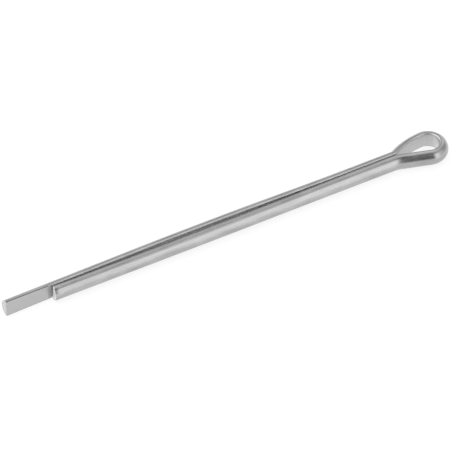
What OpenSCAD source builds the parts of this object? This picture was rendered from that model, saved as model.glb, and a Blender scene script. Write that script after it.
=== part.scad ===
// Split cotter pin: one length of half-round wire, folded in the middle round an eye,
// so that its two legs lie flat to flat and make one round shank.
//
// The wire lies in the XY plane. The origin is on the shank's axis at the neck, where the
// eye starts and the pin's nominal length is measured from. The legs run along -X, the eye
// is on the +X side, and Z goes through the eye.

/* [Shank] */
// Diameter of the round shank that the two legs make together
shank_d = 2.8; // [2.2:0.1:3.6]
// Nominal length: the short leg, from the neck to its tip
short_leg = 56; // [48:1:125]
// How far the long leg reaches past the short one
leg_step = 7.5; // [1:0.1:15]
// Play between the two flats where the legs lie together
slit = 0.14; // [0.02:0.01:0.2]
// Rounding of the wire's two edges, where its flat meets its round side
edge_r = 0.25; // [0.1:0.01:0.3]

/* [Eye] */
// Inside diameter of the eye's round end
eye_d = 3.3; // [2.5:0.1:8]
// Angle at which each side of the eye leaves the shank
eye_flare = 16.5; // [12:0.5:30]
// Radius of each bend at the neck, on the split line between the legs
neck_r = 5.3; // [4.2:0.1:8]

/* [Spring of the legs] */
// Straight stretch next to the neck, where the legs make a true round shank
closed_length = 7; // [4:0.5:14]
// Length over which each leg swings out to its bow
swing_length = 23; // [18:1:28]
// Straight crest of each bow
crest_length = 4; // [1:0.5:8]
// Length of each gentle bend in a leg
bend_length = 8; // [4:0.5:10]
// Outward bow of the long leg
long_bow = 0.26; // [0.05:0.01:0.4]
// Outward bow of the short leg
short_bow = 0.07; // [0.05:0.01:0.4]

/* [Cut ends] */
// Slant of the long leg's end, which leaves its round side the longer
long_end_slant = 2; // [0:1:20]
// Slant of the short leg's end
short_end_slant = 8; // [0:1:20]

/* [Hidden] */
$fn = 72;

// Bending draws the wire a few microns thinner, and each bend reaches a little way into the
// straight wire at its ends, so that every bend joins on cleanly
draw_down = 0.004;
bend_overlap = 0.02;
// The rounded edges reach a fraction of a micron past the round side, so that the two
// curves cross cleanly
edge_reach = 0.0005;

shank_r = shank_d / 2;
eye_r = eye_d / 2 - slit / 2; // the eye's round end, on the split line

// Each side of the eye runs straight from the neck's bend to the round end
side_length = (eye_r * cos(eye_flare) - neck_r * (1 - cos(eye_flare))) / sin(eye_flare);

// A leg swings out, runs along its crest, and comes back in to the short leg's tip
swing_straight = swing_length - 2 * bend_length;
back_straight = short_leg - closed_length - swing_length - crest_length - bend_length;

function swing_angle(bow) = atan(bow / (bend_length + swing_straight));
function back_angle(bow) = atan(bow / (bend_length / 2 + back_straight));

// A way along the wire is a list of steps, which are [length] for straight wire, and
// [radius, angle] for a bend to the left, or to the right where the angle is below 0
function gentle_bend(angle) = [bend_length * 180 / (PI * abs(angle)), angle];
eye_way = [
    [neck_r, eye_flare],
    [side_length],
    [eye_r, -180 - 2 * eye_flare],
    [side_length],
    [neck_r, eye_flare]
];
function leg_way(bow) = [
    [closed_length],
    gentle_bend(swing_angle(bow)),
    [swing_straight],
    gentle_bend(-swing_angle(bow)),
    [crest_length],
    gentle_bend(-back_angle(bow))
];

// Half-round section drawn down by a few microns or by nothing: its flat looks towards -x,
// and the split line is x = 0
module wire_section(thinner = 0) {
    flat_x = slit / 2 + thinner;
    edge_x = slit / 2 + edge_r;
    edge = [edge_x, sqrt(pow(shank_r - edge_r + edge_reach, 2) - pow(edge_x, 2))];
    rounding = edge_r - thinner;
    intersection() {
        circle(r = shank_r - thinner);
        union() {
            polygon([
                [flat_x, -edge.y], [edge.x, -edge.y], 2 * [edge.x, -edge.y], [shank_d, 0],
                2 * edge, edge, [flat_x, edge.y]
            ]);
            for (side = [1, -1])
                translate([edge.x, side * edge.y])
                    circle(r = rounding);
        }
    }
}

module straight_wire(length) {
    rotate([90, 0, 90])
        linear_extrude(height = length)
            wire_section();
}

// A bend that starts at the origin towards +X, round a centre on the left (side 1) or on
// the right (side -1)
module bent_wire(bend_r, angle, side) {
    overlap_angle = bend_overlap * 180 / (PI * bend_r);
    swept = angle + 2 * overlap_angle;
    translate([0, side * bend_r, 0])
        rotate([0, 0, side > 0 ? -90 - overlap_angle : 90 + overlap_angle - swept])
            rotate_extrude(angle = swept)
                translate([bend_r, 0])
                    mirror([side > 0 ? 1 : 0, 0])
                        wire_section(draw_down);
}

// Wire along a way from the origin towards +X, with its round side on the left. A child is
// placed where the way ends.
module wire_along(way, step = 0) {
    if (step < len(way)) {
        if (len(way[step]) == 1) {
            straight_wire(way[step][0]);
            translate([way[step][0], 0, 0])
                wire_along(way, step + 1)
                    children();
        } else {
            bend_r = way[step][0];
            angle = abs(way[step][1]);
            side = sign(way[step][1]);
            bent_wire(bend_r, angle, side);
            translate([bend_r * sin(angle), side * bend_r * (1 - cos(angle)), 0])
                rotate([0, 0, side * angle])
                    wire_along(way, step + 1)
                        children();
        }
    } else {
        children();
    }
}

// The last stretch of a leg, sheared off at a slant that leaves its round side longer
module cut_end(length, slant) {
    difference() {
        straight_wire(length + shank_d * tan(slant));
        translate([length, 0, 0])
            rotate([0, 0, -slant])
                translate([0, -shank_d, -shank_d])
                    cube([shank_d, 3 * shank_d, 2 * shank_d]);
    }
}

module leg(bow, end_length, slant) {
    rotate([0, 0, 180])
        wire_along(leg_way(bow))
            cut_end(end_length, slant);
}

module cotter_pin() color("silver") {
    wire_along(eye_way);
    leg(short_bow, back_straight, short_end_slant);
    mirror([0, 1, 0])
        leg(long_bow, back_straight + leg_step, long_end_slant);
}

cotter_pin();
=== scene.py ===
# %% [markdown]
# # A split cotter pin
# A cotter pin is one length of half-round steel wire. It is folded in the middle round a mandrel,
# which leaves the eye, and its two halves come to lie flat to flat, so that together they make one
# round shank. This lesson models the wire in the order in which it is made: first the section that
# it is drawn to, then its bends, then the shears that cut its ends, and last the steel itself. The
# frame that is loaded first holds the solid pin, in metres. The wire is modelled in the same place
# and shown in its stead, so the solid's box is measured before anything is added.

# %% Load the frame
from math import atan, atan2, cos, degrees, pi, radians, sin, sqrt, tan

import bpy
import bmesh
from mathutils import Matrix, Vector


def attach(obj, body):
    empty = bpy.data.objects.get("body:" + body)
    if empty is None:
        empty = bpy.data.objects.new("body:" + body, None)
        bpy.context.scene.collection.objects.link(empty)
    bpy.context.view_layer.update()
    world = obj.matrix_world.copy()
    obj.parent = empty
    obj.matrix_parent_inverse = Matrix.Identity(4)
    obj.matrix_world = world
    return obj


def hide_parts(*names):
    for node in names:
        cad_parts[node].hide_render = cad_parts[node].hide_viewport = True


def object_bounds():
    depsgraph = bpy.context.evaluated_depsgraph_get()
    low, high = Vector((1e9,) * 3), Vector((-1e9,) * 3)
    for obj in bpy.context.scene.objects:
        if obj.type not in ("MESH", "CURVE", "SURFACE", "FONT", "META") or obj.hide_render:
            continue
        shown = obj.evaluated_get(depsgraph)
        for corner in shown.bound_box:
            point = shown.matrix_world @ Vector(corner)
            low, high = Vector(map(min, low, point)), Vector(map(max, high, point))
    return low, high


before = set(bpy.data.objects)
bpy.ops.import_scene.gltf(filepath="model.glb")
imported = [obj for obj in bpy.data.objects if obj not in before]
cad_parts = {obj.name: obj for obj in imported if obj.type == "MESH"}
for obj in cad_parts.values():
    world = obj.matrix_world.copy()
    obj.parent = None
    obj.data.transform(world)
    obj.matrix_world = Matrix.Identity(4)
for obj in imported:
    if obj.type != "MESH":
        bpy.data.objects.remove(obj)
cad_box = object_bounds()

MM = 0.001


def box_in_mm(box):
    return [[round(x / MM, 3) for x in corner] for corner in box]


print("loaded:", *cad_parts)
print("the solid's box in mm:", box_in_mm(cad_box))

# %% [markdown]
# ## Sizes
# A pin is measured as a workshop measures it. The shank's diameter is that of both legs together,
# and the length runs from the neck, where the eye starts, to the tip of the short leg. The wire
# lies in the XY plane with the neck at the origin, the legs along -X and the eye on +X. These are
# the sizes that the solid was made to. What the wire has besides, such as its twist, comes later,
# where it is made.

# %% Sizes of the section and the eye
SHANK_R = 1.4 * MM
SLIT = 0.14 * MM                  # left open between the legs at the neck
EDGE_R = 0.25 * MM                # of the two edges that the die leaves rounded
SNUG = 0.008 * MM                 # keeps the eye inside the box of the solid's flat facets
EYE_D = 3.3 * MM                  # of the bar that the eye just takes
EYE_R = EYE_D / 2 - SLIT / 2 - SNUG   # on the split line, as the radii of all bends are
EYE_FLARE = radians(16.5)         # of the eye's straight side to the shank
NECK_R = 5.3 * MM                 # of the bend that brings that side into the shank
EYE_SIDE = (EYE_R * cos(EYE_FLARE) - NECK_R * (1 - cos(EYE_FLARE))) / sin(EYE_FLARE)
eye_x = (NECK_R + EYE_R) * sin(EYE_FLARE) + EYE_SIDE * cos(EYE_FLARE)
print(f"shank {2 * SHANK_R / MM:.1f} mm, eye's centre {eye_x / MM:.2f} mm from the neck")

# %% Sizes of the legs
SHORT_LEG = 56 * MM
LEG_STEP = 7.5 * MM               # how far the long leg stands past the short one
CLOSED = 7 * MM                   # the legs stay side by side this far from the neck,
SWING = 23 * MM                   # swing out to their bows over this length,
CREST = 4 * MM                    # and run straight on for this before they turn back
BEND = 8 * MM                     # the length of each bend: two in the swing, one past the crest
BACK = SHORT_LEG - CLOSED - SWING - CREST - BEND
LONG_BOW = 0.26 * MM
SHORT_BOW = 0.07 * MM
print(f"legs {SHORT_LEG / MM:.1f} mm and {(SHORT_LEG + LEG_STEP) / MM:.1f} mm")

# %% [markdown]
# ## The section of the wire
# Half-round wire is drawn through a die. The die leaves a round side, a flat, and two edges that
# are never sharp, because metal doesn't fill the corner of a die. The section can be cut from a
# circle and bevelled, but a bevel slides along the circle's short edges and comes out uneven. Here
# one point is spun through each arc in turn, as with a compass, so that every arc is true.

# %% Helpers for edit mode
def deselect_objects():
    bpy.ops.object.select_all(action="DESELECT")


def select_in_edit_mode(piece, wanted):
    """Selects just the vertices at which wanted(place) is true."""
    bpy.ops.mesh.select_all(action="DESELECT")
    mesh = bmesh.from_edit_mesh(piece.data)
    for v in mesh.verts:
        v.select = wanted(v.co)
    mesh.select_flush(True)
    bmesh.update_edit_mesh(piece.data)


def spin(centre, axis, angle, steps):
    """Spins what is selected by the right-hand rule; the tool itself counts the other way."""
    bpy.ops.mesh.spin(steps=steps, angle=-angle, center=centre, axis=axis, dupli=False,
                      use_auto_merge=False, use_normal_flip=False)


def push(offset, steps=1):
    """Extrudes what is selected along an offset, in equal steps."""
    for _ in range(steps):
        bpy.ops.mesh.extrude_region_move(
            TRANSFORM_OT_translate={"value": Vector(offset) / steps})


# %% Start the wire from one point
edge_y = SLIT / 2 + EDGE_R        # the middle of an edge's rounding
edge_z = sqrt((SHANK_R - EDGE_R) ** 2 - edge_y ** 2)
edge_angle = atan2(edge_z, edge_y)

deselect_objects()
bpy.ops.mesh.primitive_plane_add(size=SHANK_R, location=(0, 0, 0))
wire = bpy.context.object
wire.name = "cotter_pin_wire"
DRAWN, SHEARED = "drawn_steel", "sheared_steel"
for finish in (DRAWN, SHEARED):
    wire.data.materials.append(bpy.data.materials.new(finish))
sheared_index = wire.data.materials.find(SHEARED)
bpy.ops.object.mode_set(mode="EDIT")
bpy.ops.mesh.select_mode(type="VERT")
bpy.ops.mesh.merge(type="CENTER")
bpy.ops.transform.translate(
    value=(0, SHANK_R * cos(edge_angle), -SHANK_R * sin(edge_angle)))
print(f"the rounded edges lie {edge_z / MM:.3f} mm above and below the middle")

# %% Spin and push the point round the section
ROUND_STEPS, EDGE_STEPS, FLAT_STEPS = 40, 8, 10   # edges along each part of the section
CLOSE = 0.0001 * MM               # two points that are closer than this are one

spin((0, 0, 0), (1, 0, 0), 2 * edge_angle, ROUND_STEPS)
spin((0, edge_y, edge_z), (1, 0, 0), pi - edge_angle, EDGE_STEPS)
push((0, 0, -2 * edge_z), FLAT_STEPS)
spin((0, edge_y, -edge_z), (1, 0, 0), pi - edge_angle, EDGE_STEPS)
bpy.ops.mesh.select_all(action="SELECT")
bpy.ops.mesh.remove_doubles(threshold=CLOSE)
section = bmesh.from_edit_mesh(wire.data)
print("points round the section:", len(section.verts), "edges:", len(section.edges))

# %% [markdown]
# ## Places on the wire
# The marks of the die follow the wire round its bends, so the pattern of the steel has to know
# where it is on the wire and not where it is in the room. A UV map could say so, but it is flat
# and leaves a seam along a closed tube. Here each point carries its place on the straight wire,
# before any bend, as a vector: how far along, how far out from the split between the legs, and
# how far up. What is extruded copies it, and only the first number is written anew for each row.

# %% Note each point's place on the straight wire
section = bmesh.from_edit_mesh(wire.data)
straight = section.verts.layers.float_vector.new("straight")
for v in section.verts:
    v[straight] = v.co
outs, ups = ([v[straight][axis] / MM for v in section.verts] for axis in (1, 2))
print(f"the section lies {min(outs):.2f} to {max(outs):.2f} mm out from the split "
      f"and {min(ups):.2f} to {max(ups):.2f} mm up")
bmesh.update_edit_mesh(wire.data)


def write_run(run):
    """Writes how far along the straight wire the selected points lie."""
    mesh = bmesh.from_edit_mesh(wire.data)
    straight = mesh.verts.layers.float_vector["straight"]
    for v in mesh.verts:
        if v.select:
            v[straight].x = run
    bmesh.update_edit_mesh(wire.data)


# %% [markdown]
# ## Bending the wire
# On the bench the wire is bent round pins, one bend after another. Spinning the section round the
# middle of each bend, and extruding it along each straight, is the same work and gives even rows
# of faces that follow the wire. A curve with a bevel object would be quicker to draw, but its
# section turns at tight bends, and its arcs are only nearly round.

# %% Lay one row of faces
ROW = 0.8 * MM                    # the length of a row on a straight
ROW_ANGLE = radians(4)            # and its angle on a bend
FEWEST_ROWS = 6


def rows_of(size, angle):
    """How many rows a straight of this length takes, or a bend of this angle."""
    if angle:
        return max(FEWEST_ROWS, round(abs(angle) / ROW_ANGLE))
    return max(1, round(size / ROW))


def lay_row(place, heading, size, turn):
    """Spins one row round a bend of radius size, or pushes it on by size where turn is 0."""
    if not turn:
        step = size * Vector((cos(heading), sin(heading), 0))
        push(step)
        return place + step, heading
    inwards = Vector((-sin(heading), cos(heading), 0)) * (1 if turn > 0 else -1)
    centre = place + size * inwards
    spin(centre, (0, 0, 1), turn, 1)
    return centre + Matrix.Rotation(turn, 3, "Z") @ (place - centre), heading + turn


print("rows in a bend of 90 degrees:", rows_of(NECK_R, radians(90)))

# %% [markdown]
# ## A slight twist
# Legs come out of the bending tool slightly twisted, which shows as a sliver of one flat beside
# the other leg. A twist could be put in afterwards with a Simple Deform modifier, but that turns
# about one straight axis, and a leg isn't straight. So each row may be turned a little about the
# leg as it is laid, and raised by as much as its lower edge would sink into what it lies on.

# %% Walk along the wire
def lean_out(place, side, angle):
    """Turns the section about the leg, its top away from the other leg. Like spin, this tool
    turns against the right-hand rule."""
    bpy.ops.transform.rotate(value=-side * angle, orient_axis="X", center_override=place)


def low_edge(twist):
    """How far the lower edge of a twisted leg would sink."""
    return sqrt(edge_y ** 2 + edge_z ** 2) * (sin(edge_angle + twist) - sin(edge_angle))


def walk(place, heading, way, side, run, twist):
    """Sweeps the selected section along a way of straights (length, 0) and bends (radius, angle).
    side is 1 where a positive angle turns left, and -1 on the mirrored leg. run is how far along
    the straight wire the section is at the start, and twist(distance) is how far the wire has
    turned at that distance from the start. Returns where the walk ends: place, heading and run."""
    start = run
    for size, angle in way:
        rows = rows_of(size, angle)
        length = size * abs(angle) if angle else size
        for _ in range(rows):
            before = twist(abs(run - start))
            place, heading = lay_row(place, heading, size if angle else size / rows,
                                     side * angle / rows)
            run += side * length / rows
            write_run(run)
            after = twist(abs(run - start))
            if after != before:
                lean_out(place, side, after - before)
                rise = Vector((0, 0, low_edge(after) - low_edge(before)))
                bpy.ops.transform.translate(value=rise)
                place = place + rise
    return place, heading, run


print(f"a leg that is twisted by 5 degrees is raised by {low_edge(radians(5)) / MM:.3f} mm")

# %% [markdown]
# ## The eye
# The eye is a teardrop: an arc round the mandrel, two sides that run in to the neck, and a bend on
# each there the other way, which lays the legs side by side. It could be half of a ring with two
# legs bridged to it, but a bridge gives uneven faces just where the light bends most. The walk
# starts and ends at the neck, so the gap that it leaves there tells whether the sizes agree. The
# two sides aren't quite alike: the wire is pulled round the mandrel from one end, so the side that
# is laid first keeps a slight belly, and the side that is pulled stays straight.

# %% The side with a belly
BELLY_FLARE = radians(28)         # its angle to the shank at the neck
BELLY_END = radians(3.5)          # and where it runs into the eye's round end
BELLY_NECK_R = 1.9 * MM           # of the bend between the shank and the belly

# The bend at the neck and the belly's own long bend together rise to the round end, and what they
# fall short of it along the shank is straight wire at the neck.
belly_rise = EYE_R * cos(BELLY_END) - BELLY_NECK_R * (1 - cos(BELLY_FLARE))
belly_r = belly_rise / (cos(BELLY_END) - cos(BELLY_FLARE))
belly_from = (eye_x - EYE_R * sin(BELLY_END) - BELLY_NECK_R * sin(BELLY_FLARE)
              - belly_r * (sin(BELLY_FLARE) - sin(BELLY_END)))
print(f"a belly of {belly_r / MM:.1f} mm radius, from {belly_from / MM:.2f} mm past the neck")


# %% Bend the eye
def no_twist(distance):
    """The mandrel holds the wire upright in the eye."""
    return 0.0


neck = Vector((0, 0, 0))
eye_way = [(belly_from, 0), (BELLY_NECK_R, BELLY_FLARE), (belly_r, BELLY_END - BELLY_FLARE),
           (EYE_R, -pi - BELLY_END - EYE_FLARE), (EYE_SIDE, 0), (NECK_R, EYE_FLARE)]
bpy.ops.mesh.select_all(action="SELECT")
place, heading, eye_length = walk(neck, 0.0, eye_way, 1, 0.0, no_twist)
print(f"{eye_length / MM:.2f} mm of wire in the eye, which closes within "
      f"{1000 * (place - neck).length / MM:.4f} microns at {degrees(heading):.3f} degrees")

# %% [markdown]
# ## Shears
# Each leg is swept on from the neck a little longer than it is, and then sheared. A bisect of the
# leg's faces is the shears: it takes the spare wire off at a slant and fills the cut. A boolean
# with a box would do it too, but would cut the rows of faces beside it to slivers. Shears roll the
# edge of the wire over a little, hence the bevel round the cut.

# %% Shear a leg
SPARE = 1 * MM                    # wire past each tip, for the shears
BITE = 3 * MM                     # the shears reach this far in from the cut
ON_CUT = 2 * CLOSE                # a point this near the blade's plane is on the cut
ROLLED_EDGE = 0.05 * MM
ROLL_STEPS = 3


def shear(wire_end, heading, slant):
    """Cuts the leg that was swept last, a spare length before its end, and rounds the cut."""
    ahead = Vector((cos(heading), sin(heading), 0))
    cut = wire_end - SPARE * ahead
    blade_normal = Matrix.Rotation(slant, 3, "Z") @ ahead

    def near_the_cut(co):
        return co.x < cut.x + BITE

    select_in_edit_mode(wire, near_the_cut)
    bpy.ops.mesh.bisect(plane_co=cut, plane_no=blade_normal, clear_outer=True, use_fill=True,
                        threshold=CLOSE)
    select_in_edit_mode(
        wire, lambda co: near_the_cut(co) and abs((co - cut).dot(blade_normal)) < ON_CUT)
    bpy.ops.mesh.select_mode(type="FACE")
    mesh = bmesh.from_edit_mesh(wire.data)
    cut_faces = [f for f in mesh.faces if f.select]
    for f in cut_faces:
        f.material_index = sheared_index
    print(f"cut face {sum(f.calc_area() for f in cut_faces) / MM ** 2:.2f} mm2")
    bmesh.update_edit_mesh(wire.data)
    bpy.ops.mesh.region_to_loop()
    bpy.ops.mesh.bevel(offset=ROLLED_EDGE, segments=ROLL_STEPS, affect="EDGES",
                       clamp_overlap=False)
    bpy.ops.mesh.select_mode(type="VERT")


# %% [markdown]
# ## The legs
# One leg stands past the other, so that a fingernail or a blade can part them. Neither is quite
# straight: each bows away from the other and comes back at its tip, which is the spring that holds
# the pin in its hole until it is bent open. The bow is three long soft bends, so that its sides
# stay as smooth as a drawn wire's, which a row of points moved by hand would not.

# %% The way of a leg
def leg_way(bow, end_length):
    """The neck's closed stretch, a swing out to the bow, its crest, and the way back in."""
    swing_straight = SWING - 2 * BEND
    out = atan(bow / (BEND + swing_straight))
    back = atan(bow / (BEND / 2 + BACK))
    return [(CLOSED, 0), (BEND / out, out), (swing_straight, 0), (BEND / out, -out), (CREST, 0),
            (BEND / back, -back), (end_length, 0)]


short_way = leg_way(SHORT_BOW, BACK + SPARE)
long_way = leg_way(LONG_BOW, BACK + LEG_STEP + SPARE)
print(f"the bows' first bends: {short_way[1][0] / MM:.0f} and {long_way[1][0] / MM:.0f} mm radius")

# %% The short leg
SHORT_SLANT = radians(8)
SHORT_TWIST_FROM = 2 * MM
SHORT_MID_TWIST = radians(6.5)    # comes and goes along the leg,
SHORT_END_TWIST = radians(3.4)    # on top of this, which grows evenly to the tip


def short_twist(distance):
    far = min(max((distance - SHORT_TWIST_FROM) / (SHORT_LEG - SHORT_TWIST_FROM), 0), 1)
    return SHORT_MID_TWIST * sin(pi * far) + SHORT_END_TWIST * far


short_end, heading, _ = walk(place, heading, short_way, 1, eye_length, short_twist)
shear(short_end, heading, -SHORT_SLANT)

# %% The long leg, from the other end of the eye
LONG_SLANT = radians(2)
LONG_END_TWIST = radians(7.5)
LONG_TWIST_FROM = 53 * MM


def long_twist(distance):
    far = max(distance - LONG_TWIST_FROM, 0) / (SHORT_LEG + LEG_STEP - LONG_TWIST_FROM)
    return LONG_END_TWIST * far


select_in_edit_mode(wire, lambda co: abs(co.x) < CLOSE and co.y > 0)
long_end, heading, _ = walk(neck, pi, long_way, -1, 0.0, long_twist)
shear(long_end, heading, LONG_SLANT)

# %% [markdown]
# ## One closed piece
# The wire has no joint anywhere. The legs could be pieces of their own, set against the eye, but
# then a seam would cross the bright neck. The section was swept both ways from there instead, so
# its points are shared, and a merge of doubles makes sure of it. Normals are recalculated last,
# because spins can turn faces inside out. Shading is smooth up to a limit, which rounds the rows
# and keeps the cut faces flat.

# %% Close the mesh and finish the piece
SMOOTH_UP_TO = radians(30)

bpy.ops.mesh.select_all(action="SELECT")
bpy.ops.mesh.remove_doubles(threshold=CLOSE)
bpy.ops.mesh.normals_make_consistent(inside=False)
mesh = bmesh.from_edit_mesh(wire.data)
print("open edges:", sum(not e.is_manifold for e in mesh.edges),
      f"volume {mesh.calc_volume(signed=True) / MM ** 3:.2f} mm3")
bpy.ops.object.mode_set(mode="OBJECT")
bpy.ops.object.shade_smooth_by_angle(angle=SMOOTH_UP_TO)
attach(wire, "root")
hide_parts("cotter_pin")
print("faces of the wire:", len(wire.data.polygons))

# %% [markdown]
# ## The steel
# The wire is bright drawn steel under a thin zinc coat. Metal has no colour of its own besides
# what it mirrors, so the finish is in three things: how much light it gives back, how sharp the
# picture in it is, and the marks of the work, which run along the wire. A scratch texture laid
# over the pin would show the same marks everywhere. Noise that is stretched along the wire's own
# places never repeats, and one node group of it serves the drawn and the sheared steel alike.

# %% Helpers for shaders
def add_node(tree, kind, settings=None, **inputs):
    """Adds a node, and gives each named input a value, or a link where the value is a socket. An
    input's spaces are written as underscores, and _0 is the first input, whatever its name."""
    made = tree.nodes.new("ShaderNode" + kind)
    for name, value in (settings or {}).items():
        setattr(made, name, value)
    for name, value in inputs.items():
        socket = made.inputs[int(name[1:]) if name[0] == "_" else name.replace("_", " ")]
        if isinstance(value, bpy.types.NodeSocket):
            tree.links.new(value, socket)
        else:
            socket.default_value = value
    return made


def math_node(tree, operation, first, second=0.0):
    return add_node(tree, "Math", {"operation": operation}, _0=first, _1=second).outputs[0]


def mix(tree, share, first, second):
    return add_node(tree, "Mix", {"data_type": "FLOAT"}, _0=share, _2=first,
                    _3=second).outputs[0]


def spread(tree, value, low, high, at_low=0.0, at_high=1.0):
    """Spreads a value that runs from low to high over another range."""
    return add_node(tree, "MapRange", _0=value, _1=low, _2=high, _3=at_low,
                    _4=at_high).outputs[0]


# %% The node group of metal marks
def metal_marks_group():
    """Noise with so many marks to a metre along the wire, and so many across it."""
    group = bpy.data.node_groups.new("metal_marks", "ShaderNodeTree")
    for name, kind in (("Place", "Vector"), ("Along", "Float"), ("Across", "Float"),
                       ("Detail", "Float")):
        group.interface.new_socket(name, in_out="INPUT", socket_type="NodeSocket" + kind)
    group.interface.new_socket("Marks", in_out="OUTPUT", socket_type="NodeSocketFloat")
    given = group.nodes.new("NodeGroupInput").outputs
    scale = add_node(group, "CombineXYZ", X=given["Along"], Y=given["Across"], Z=given["Across"])
    stretched = add_node(group, "VectorMath", {"operation": "MULTIPLY"}, _0=given["Place"],
                         _1=scale.outputs[0])
    noise = add_node(group, "TexNoise", Vector=stretched.outputs[0], Scale=1.0,
                     Detail=given["Detail"])
    out = group.nodes.new("NodeGroupOutput")
    group.links.new(noise.outputs["Fac"], out.inputs["Marks"])
    return group


metal_marks = metal_marks_group()
print("node group:", metal_marks.name, "with", len(metal_marks.nodes), "nodes")

# %% Start a steel and put the marks on it
MARKS_LOW, MARKS_HIGH = 0.3, 0.7  # nearly all of the noise lies between these


def marks(tree, on_wire, along, across, detail):
    return add_node(tree, "Group", {"node_tree": metal_marks}, Place=on_wire, Along=along,
                    Across=across, Detail=detail).outputs["Marks"]


def spread_marks(tree, value, at_low, at_high):
    return spread(tree, value, MARKS_LOW, MARKS_HIGH, at_low, at_high)


def start_steel(name):
    """Opens a steel's material, with its shader and its places on the straight wire."""
    steel = bpy.data.materials[name]
    steel.use_nodes = True
    shader = steel.node_tree.nodes["Principled BSDF"]
    shader.inputs["Metallic"].default_value = 1.0
    on_wire = add_node(steel.node_tree, "Attribute", {"attribute_name": "straight"})
    return steel.node_tree, shader, on_wire.outputs["Vector"]


# %% [markdown]
# ## Drawn steel
# Each part of the section gets a grey of its own. The die draws streaks along the round side.
# Beside the edges, fine dark lines are painted dark reflections of the dark surroundings. The flat
# inside the eye is painted lighter, most of all at its top: painted light in the eye's hollow.
# Along the legs the two flats touch, and the slit between them gets painted light on its flats,
# so that it is grey rather than black. Past the short leg's tip the long leg's flat keeps its
# plain grey and its edges get a painted dark reflection, and painted shade lies in a strip beside
# the tip. Each could be a material on its own faces, but then their borders would be as sharp as
# the faces. Masks worked out from the place on the wire fade as softly as the marks do there.

# %% Helpers for masks
def distance_from(tree, value, centre):
    return math_node(tree, "ABSOLUTE", math_node(tree, "SUBTRACT", value, centre))


def fades_out(tree, value, low, high):
    """A mask that is 1 up to low, and 0 from high on."""
    return spread(tree, value, low, high, 1.0, 0.0)


def all_of(tree, mask, *others):
    """A mask of where all of the given masks are 1."""
    for other in others:
        mask = math_node(tree, "MULTIPLY", mask, other)
    return mask


# %% Masks across the section
# How far off the split the edges' finish, and the flat's, begins to fade and is gone.
EDGE_FADE = (SLIT / 2 + EDGE_R / 4, SLIT / 2 + EDGE_R)
FLAT_FADE = (SLIT / 2 + EDGE_R / 50, SLIT / 2 + EDGE_R / 8)

tree, shader, on_wire = start_steel(DRAWN)
wire_place = add_node(tree, "SeparateXYZ", Vector=on_wire)
off_split = math_node(tree, "ABSOLUTE", wire_place.outputs["Y"])
edge = fades_out(tree, off_split, *EDGE_FADE)
flat = fades_out(tree, off_split, *FLAT_FADE)
print(f"the edges' finish fades out {EDGE_FADE[0] / MM:.3f} to {EDGE_FADE[1] / MM:.3f} mm off the "
      f"split, and the flat's {FLAT_FADE[0] / MM:.3f} to {FLAT_FADE[1] / MM:.3f} mm")

# %% Masks along the wire
EYE_TOP_FADE = 1 * MM
NECK_FADE = 3 * MM
TIP_FADE = 0.1 * MM
TIP_SHADE_LENGTH = 0.57 * MM          # of the painted shade beside the short leg's tip, on the long leg's flat
TIP_SHADE_FADE = 0.15 * MM

neck_at = eye_length / 2
tip_at = neck_at + SHORT_LEG
tip_shade_end = tip_at + TIP_SHADE_LENGTH
from_eye = distance_from(tree, wire_place.outputs["X"], neck_at)
eye_top = fades_out(tree, from_eye, 0.0, EYE_TOP_FADE)
past_neck = spread(tree, from_eye, neck_at, neck_at + NECK_FADE)
before_tip = fades_out(tree, from_eye, tip_at, tip_at + TIP_FADE)
past_tip = math_node(tree, "SUBTRACT", 1.0, before_tip)
before_tip_shade_end = fades_out(tree, from_eye, tip_shade_end, tip_shade_end + TIP_SHADE_FADE)
# the flats in the slit between the legs, which get painted light and a roughness of their own
slit_flats = all_of(tree, flat, past_neck, before_tip)
# painted shade on the long leg's flat beside the short tip
tip_shade = all_of(tree, edge, past_tip, before_tip_shade_end)
print(f"neck {neck_at / MM:.1f} mm and short tip {tip_at / MM:.1f} mm of wire from the eye's top")

# %% [markdown]
# ## Greys of the drawn steel
# How much light the steel gives back is one grey at each place. It could be worked out by one long
# formula, but nobody could adjust it. Here it is built up in layers: the drawn round side under
# its zinc, with its edges partly painted lighter, then painted dark reflections along the edges,
# then the flats, with painted light inside the eye and in the slit, and painted shade beside the
# short tip, each in their own grey. Each is laid over the ones before it through its mask.

# %% Grey of the round side and its edges
STREAKS = (150.0, 9000.0, 3.0)    # marks to a metre along and across the wire, and their detail
CLOUDS = (350.0, 900.0, 2.0)
ROUND_GREY = (0.395, 0.455)
EDGE_POLISH_AND_HIGHLIGHT_GREY = 0.56                  # partly polish from handling, partly a painted highlight along the rounded edges
CLOUD_SHADE = (0.87, 1.13)        # the zinc coat is a little thicker here and there

streaks = marks(tree, on_wire, *STREAKS)
clouds = marks(tree, on_wire, *CLOUDS)
grey = mix(tree, edge, spread_marks(tree, streaks, *ROUND_GREY), EDGE_POLISH_AND_HIGHLIGHT_GREY)
grey = math_node(tree, "MULTIPLY", grey, spread_marks(tree, clouds, *CLOUD_SHADE))
print(f"a streak is about {1 / STREAKS[0] / MM:.1f} by {1 / STREAKS[1] / MM:.2f} mm")

# %% Painted dark reflections along the edges
# Each line is so far off the split, fades so far to each side, and is so strong in its middle.
# The lines are painted dark reflections: they stand in for dark surroundings that the edges
# mirror.
PAINTED_DARK_LINES = ((0.33 * MM, 0.07 * MM, 1.0), (0.82 * MM, 0.09 * MM, 0.6))
PAINTED_DARK_LINE_GREY = 0.26
# past the short tip, the long leg's free edges get a darker painted reflection line
FREE_EDGE_PAINTED_LINE = (0.12 * MM, 0.1 * MM, 1.0)
FREE_EDGE_PAINTED_GREY = 0.08


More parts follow.
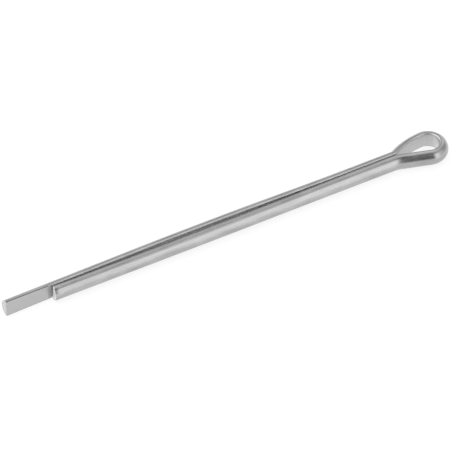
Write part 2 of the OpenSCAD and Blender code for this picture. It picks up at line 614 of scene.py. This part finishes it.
def draw_line(grey, line, where, line_grey):
    """Draws a line over a grey, in the stretch of the wire that the mask where gives."""
    off, fade, strength = line
    drawn = spread(tree, distance_from(tree, off_split, off), 0.0, fade, strength, 0.0)
    return mix(tree, all_of(tree, drawn, where), grey, line_grey)


for painted_dark_line in PAINTED_DARK_LINES:
    grey = draw_line(grey, painted_dark_line, before_tip, PAINTED_DARK_LINE_GREY)
grey = draw_line(grey, FREE_EDGE_PAINTED_LINE, past_tip, FREE_EDGE_PAINTED_GREY)
print("lines beside each edge:", len(PAINTED_DARK_LINES), "up to the short tip, and 1 past it")

# %% Greys of the flats
FLAT_GREY = 0.48
EYE_PAINTED_LIGHT_GREY = 0.57                   # painted light: the eye's inside is painted lighter
EYE_TOP_PAINTED_LIGHT_GREY = 0.76               # and lightest at the eye's top
# painted light on the flats in the slit between the legs, which keeps the slit grey
SLIT_PAINTED_LIGHT_GREY = 0.86
# painted shade beside the short leg's tip
TIP_SHADE_GREY = 0.38

eye_painted_light_grey = mix(tree, eye_top, EYE_PAINTED_LIGHT_GREY, EYE_TOP_PAINTED_LIGHT_GREY)
grey = mix(tree, flat, grey, mix(tree, past_neck, eye_painted_light_grey, FLAT_GREY))
grey = mix(tree, slit_flats, grey, SLIT_PAINTED_LIGHT_GREY)
grey = mix(tree, tip_shade, grey, TIP_SHADE_GREY)
tree.links.new(grey, shader.inputs["Base Color"])
print("nodes of the grey and its masks:", len(tree.nodes))

# %% [markdown]
# ## Roughness and relief of the drawn steel
# A drawn surface mirrors softly along its streaks, and its zinc coat lies in shallow waves. Both
# are only microns deep, which as faces would take millions, so two bumps bend the light instead.
# One bump would give both the same depth, and the waves would drown the streaks.

# %% Roughness and relief
ROUND_ROUGHNESS = (0.22, 0.32)
FLAT_ROUGHNESS = 0.42
SLIT_FLAT_ROUGHNESS = 0.4
WAVE_DEPTH = 0.018 * MM
STREAK_DEPTH = 0.002 * MM

rough = mix(tree, edge, spread_marks(tree, clouds, *ROUND_ROUGHNESS), FLAT_ROUGHNESS)
rough = mix(tree, slit_flats, rough, SLIT_FLAT_ROUGHNESS)
tree.links.new(rough, shader.inputs["Roughness"])
waves = add_node(tree, "Bump", Height=clouds, Strength=1.0, Distance=WAVE_DEPTH)
relief = add_node(tree, "Bump", Height=streaks, Strength=1.0, Distance=STREAK_DEPTH,
                  Normal=waves.outputs["Normal"])
tree.links.new(relief.outputs["Normal"], shader.inputs["Normal"])
print(DRAWN, "has", len(tree.nodes), "nodes")

# %% [markdown]
# ## Sheared steel
# Shears leave bare steel that no die has drawn and no bath has coated: brighter, duller in its
# picture, and torn in short lines across the cut. It could be a mask in the drawn steel, but each
# cut has a slant of its own, which the mask would have to follow. The shears marked the cut faces
# themselves, and the bevel carried that mark on over most of the rolled edge, so these faces have
# a material of their own. It takes the same group of marks.

# %% Material of the cut faces
TEARS = (400.0, 4000.0, 3.0)
LONG_CUT_GREY = (0.6, 0.74)
SHORT_CUT_PAINTED_LIGHT_GREY = (0.84, 1.0)      # painted light: lighter, because this cut mirrors the dull flat beside it
SHEARED_ROUGHNESS = 0.75
TEAR_DEPTH = 0.01 * MM

tree, shader, on_wire = start_steel(SHEARED)
tears = marks(tree, on_wire, *TEARS)
run_along = add_node(tree, "SeparateXYZ", Vector=on_wire).outputs["X"]
on_short_leg = spread(tree, run_along, 0.0, eye_length)   # the long leg's run is below 0
grey = mix(tree, on_short_leg, spread_marks(tree, tears, *LONG_CUT_GREY),
           spread_marks(tree, tears, *SHORT_CUT_PAINTED_LIGHT_GREY))
tree.links.new(grey, shader.inputs["Base Color"])
shader.inputs["Roughness"].default_value = SHEARED_ROUGHNESS
torn = add_node(tree, "Bump", Height=tears, Strength=1.0, Distance=TEAR_DEPTH)
tree.links.new(torn.outputs["Normal"], shader.inputs["Normal"])
sheared_faces = [f for f in wire.data.polygons if f.material_index == sheared_index]
print(SHEARED, "is on", len(sheared_faces), "faces")

# %% [markdown]
# ## The floor
# The pin lies on a plain white floor. One that is only painted white turns grey wherever the light
# is soft, and more light would burn the steel out. So this floor also glows to the camera and in
# the steel, and keeps the pin's shadow in the part of its white that comes from the lamps.

# %% Floor
FLOOR_SIZE = 4.0                  # m
FLOOR_GREY = 0.22
FLOOR_GLOW = 0.82
FLOOR_ROUGHNESS = 0.3


def add_plane(name, width, height, **placed):
    """Adds a plane whose place is in its mesh, so that its object stays at the origin."""
    deselect_objects()
    bpy.ops.mesh.primitive_plane_add(size=1, **placed)
    plane = bpy.context.object
    plane.name = name
    plane.scale = (width, height, 1)
    bpy.ops.object.transform_apply(location=True, rotation=True, scale=True)
    return plane


floor = add_plane("floor", FLOOR_SIZE, FLOOR_SIZE, location=(0, 0, cad_box[0].z))
paper = bpy.data.materials.new("white_paper")
paper.use_nodes = True
tree = paper.node_tree
tree.nodes.clear()
ray = add_node(tree, "LightPath").outputs
seen = math_node(tree, "MAXIMUM", ray["Is Camera Ray"], ray["Is Glossy Ray"])
seen = math_node(tree, "MAXIMUM", seen, ray["Is Transmission Ray"])
glowing = add_node(tree, "BsdfPrincipled", Roughness=FLOOR_ROUGHNESS,
                   Base_Color=(FLOOR_GREY, FLOOR_GREY, FLOOR_GREY, 1),
                   Emission_Color=(1, 1, 1, 1),
                   Emission_Strength=math_node(tree, "MULTIPLY", seen, FLOOR_GLOW))
add_node(tree, "OutputMaterial", Surface=glowing.outputs["BSDF"])
floor.data.materials.append(paper)
print(f"floor at {floor.data.vertices[0].co.z / MM:.3f} mm")

# %% [markdown]
# ## Sky, softboxes and cards
# Bright metal shows its surroundings, so a studio for it is made of large even areas. A grey sky
# gives the middle tones. Softboxes add light in places, and cards hold it back: they draw the dark
# bands without which a round wire looks flat. One picture of a studio wrapped round the scene
# would do all that at once, but it couldn't be adjusted a lamp at a time. Each lamp or card is
# placed by the direction in which the pin sees it, and by how many degrees of its view it fills.

# %% Sky, and places round the pin
SKY = 0.78
pin_middle = (cad_box[0] + cad_box[1]) / 2
DISTANCE = 1.0                    # m, from there to each lamp and card

world = bpy.data.worlds.new("studio")
bpy.context.scene.world = world
world.use_nodes = True
world.node_tree.nodes["Background"].inputs["Color"].default_value = (SKY, SKY, SKY, 1)
print("a sky of radiance", SKY, "all round, and lamps and cards", DISTANCE, "m from the pin")


def aside(azimuth, elevation, fills):
    """A place off to one side of the pin, the turn that faces the pin from there, and the size
    that fills so many degrees. Azimuth 0 is in front, on the -Y side, and 90 is +X."""
    a, e = radians(azimuth), radians(elevation)
    outwards = Vector((sin(a) * cos(e), -cos(a) * cos(e), sin(e)))
    size = [2 * DISTANCE * tan(radians(angle) / 2) for angle in fills]
    turn = outwards.to_track_quat("Z", "Y").to_euler()
    return pin_middle + DISTANCE * outwards, turn, size


# %% Softboxes
def softbox(name, azimuth, elevation, fills, radiance):
    """A softbox that adds an even radiance to the sky's."""
    lamp = bpy.data.lights.new(name, "AREA")
    lamp.shape = "RECTANGLE"
    box = bpy.data.objects.new(name, lamp)
    bpy.context.scene.collection.objects.link(box)
    box.location, box.rotation_euler, size = aside(azimuth, elevation, fills)
    lamp.size, lamp.size_y = size
    lamp.energy = radiance * pi * lamp.size * lamp.size_y
    box.visible_camera = False
    print(f"{name}: {lamp.size:.2f} by {lamp.size_y:.2f} m, {lamp.energy:.2f} W")


# The name, azimuth, elevation, degrees that it fills across and up, and radiance of each.
softbox("key_softbox", 24, 22.5, (24, 47), 0.70)
softbox("side_softbox", 36, 22.5, (46, 47), 0.22)
softbox("back_softbox", -110, 42, (80, 46), 1.35)
softbox("far_softbox", 112, 30, (22, 30), 0.3)
softbox("top_softbox", 105, 77, (30, 26), 0.4)


# %% Cards
def card(name, azimuth, elevation, fills, radiance):
    """A card of one even grey, which the steel mirrors and the camera doesn't see."""
    location, turn, size = aside(azimuth, elevation, fills)
    board = add_plane(name, *size, location=location, rotation=turn)
    paint = bpy.data.materials.new(name)
    paint.use_nodes = True
    paint.node_tree.nodes.clear()
    glow = add_node(paint.node_tree, "Emission", Strength=radiance)
    add_node(paint.node_tree, "OutputMaterial", Surface=glow.outputs["Emission"])
    board.data.materials.append(paint)
    board.visible_camera = False
    print(f"{name}: {size[0]:.2f} by {size[1]:.2f} m")


# The name, azimuth, elevation, degrees that it fills across and up, and radiance of each.
card("dark_card", -13, 36, (40, 78), 0.20)
card("grey_card", 90, 25, (34, 50), 0.54)
card("back_card", 150, 10, (46, 50), 0.66)

# %% [markdown]
# ## The camera
# A pin is shown best from above its tips, looking along the shank towards the eye. A wide lens
# close by would make the near tips look thick and the eye small. A long lens from a metre away
# keeps the two legs parallel, as in a catalogue.

# %% Camera
AIM = pin_middle + Vector((-0.684, -0.226, 0.379)) * MM   # where the whole pin fits the frame
AZIMUTH = radians(30.48)          # turned so far to the right of the +Y direction
ELEVATION = radians(44.69)        # and looking so far down
ROLL = radians(1.566)
DISTANCE_TO_AIM = 1.157           # m
LENS, FILM_WIDTH = 641.9, 36      # mm, the unit that both are given in
NEAREST, FARTHEST = 0.01, 20      # m, all that the camera can see lies between these

right = Vector((cos(AZIMUTH), -sin(AZIMUTH), 0))
up = Vector((sin(AZIMUTH) * sin(ELEVATION), cos(AZIMUTH) * sin(ELEVATION), cos(ELEVATION)))
away = up.cross(right)
rolled_right = cos(ROLL) * right + sin(ROLL) * up
rolled_up = cos(ROLL) * up - sin(ROLL) * right

camera = bpy.data.objects.new("camera", bpy.data.cameras.new("camera"))
bpy.context.scene.collection.objects.link(camera)
bpy.context.scene.camera = camera
camera.data.lens = LENS
camera.data.sensor_width = FILM_WIDTH
camera.data.clip_start, camera.data.clip_end = NEAREST, FARTHEST
turn = Matrix((rolled_right, rolled_up, -away)).transposed().to_4x4()
camera.matrix_world = Matrix.Translation(AIM - DISTANCE_TO_AIM * away) @ turn
bpy.context.scene.view_settings.view_transform = "Standard"
print("camera at", [round(x, 3) for x in camera.matrix_world.translation], "m")
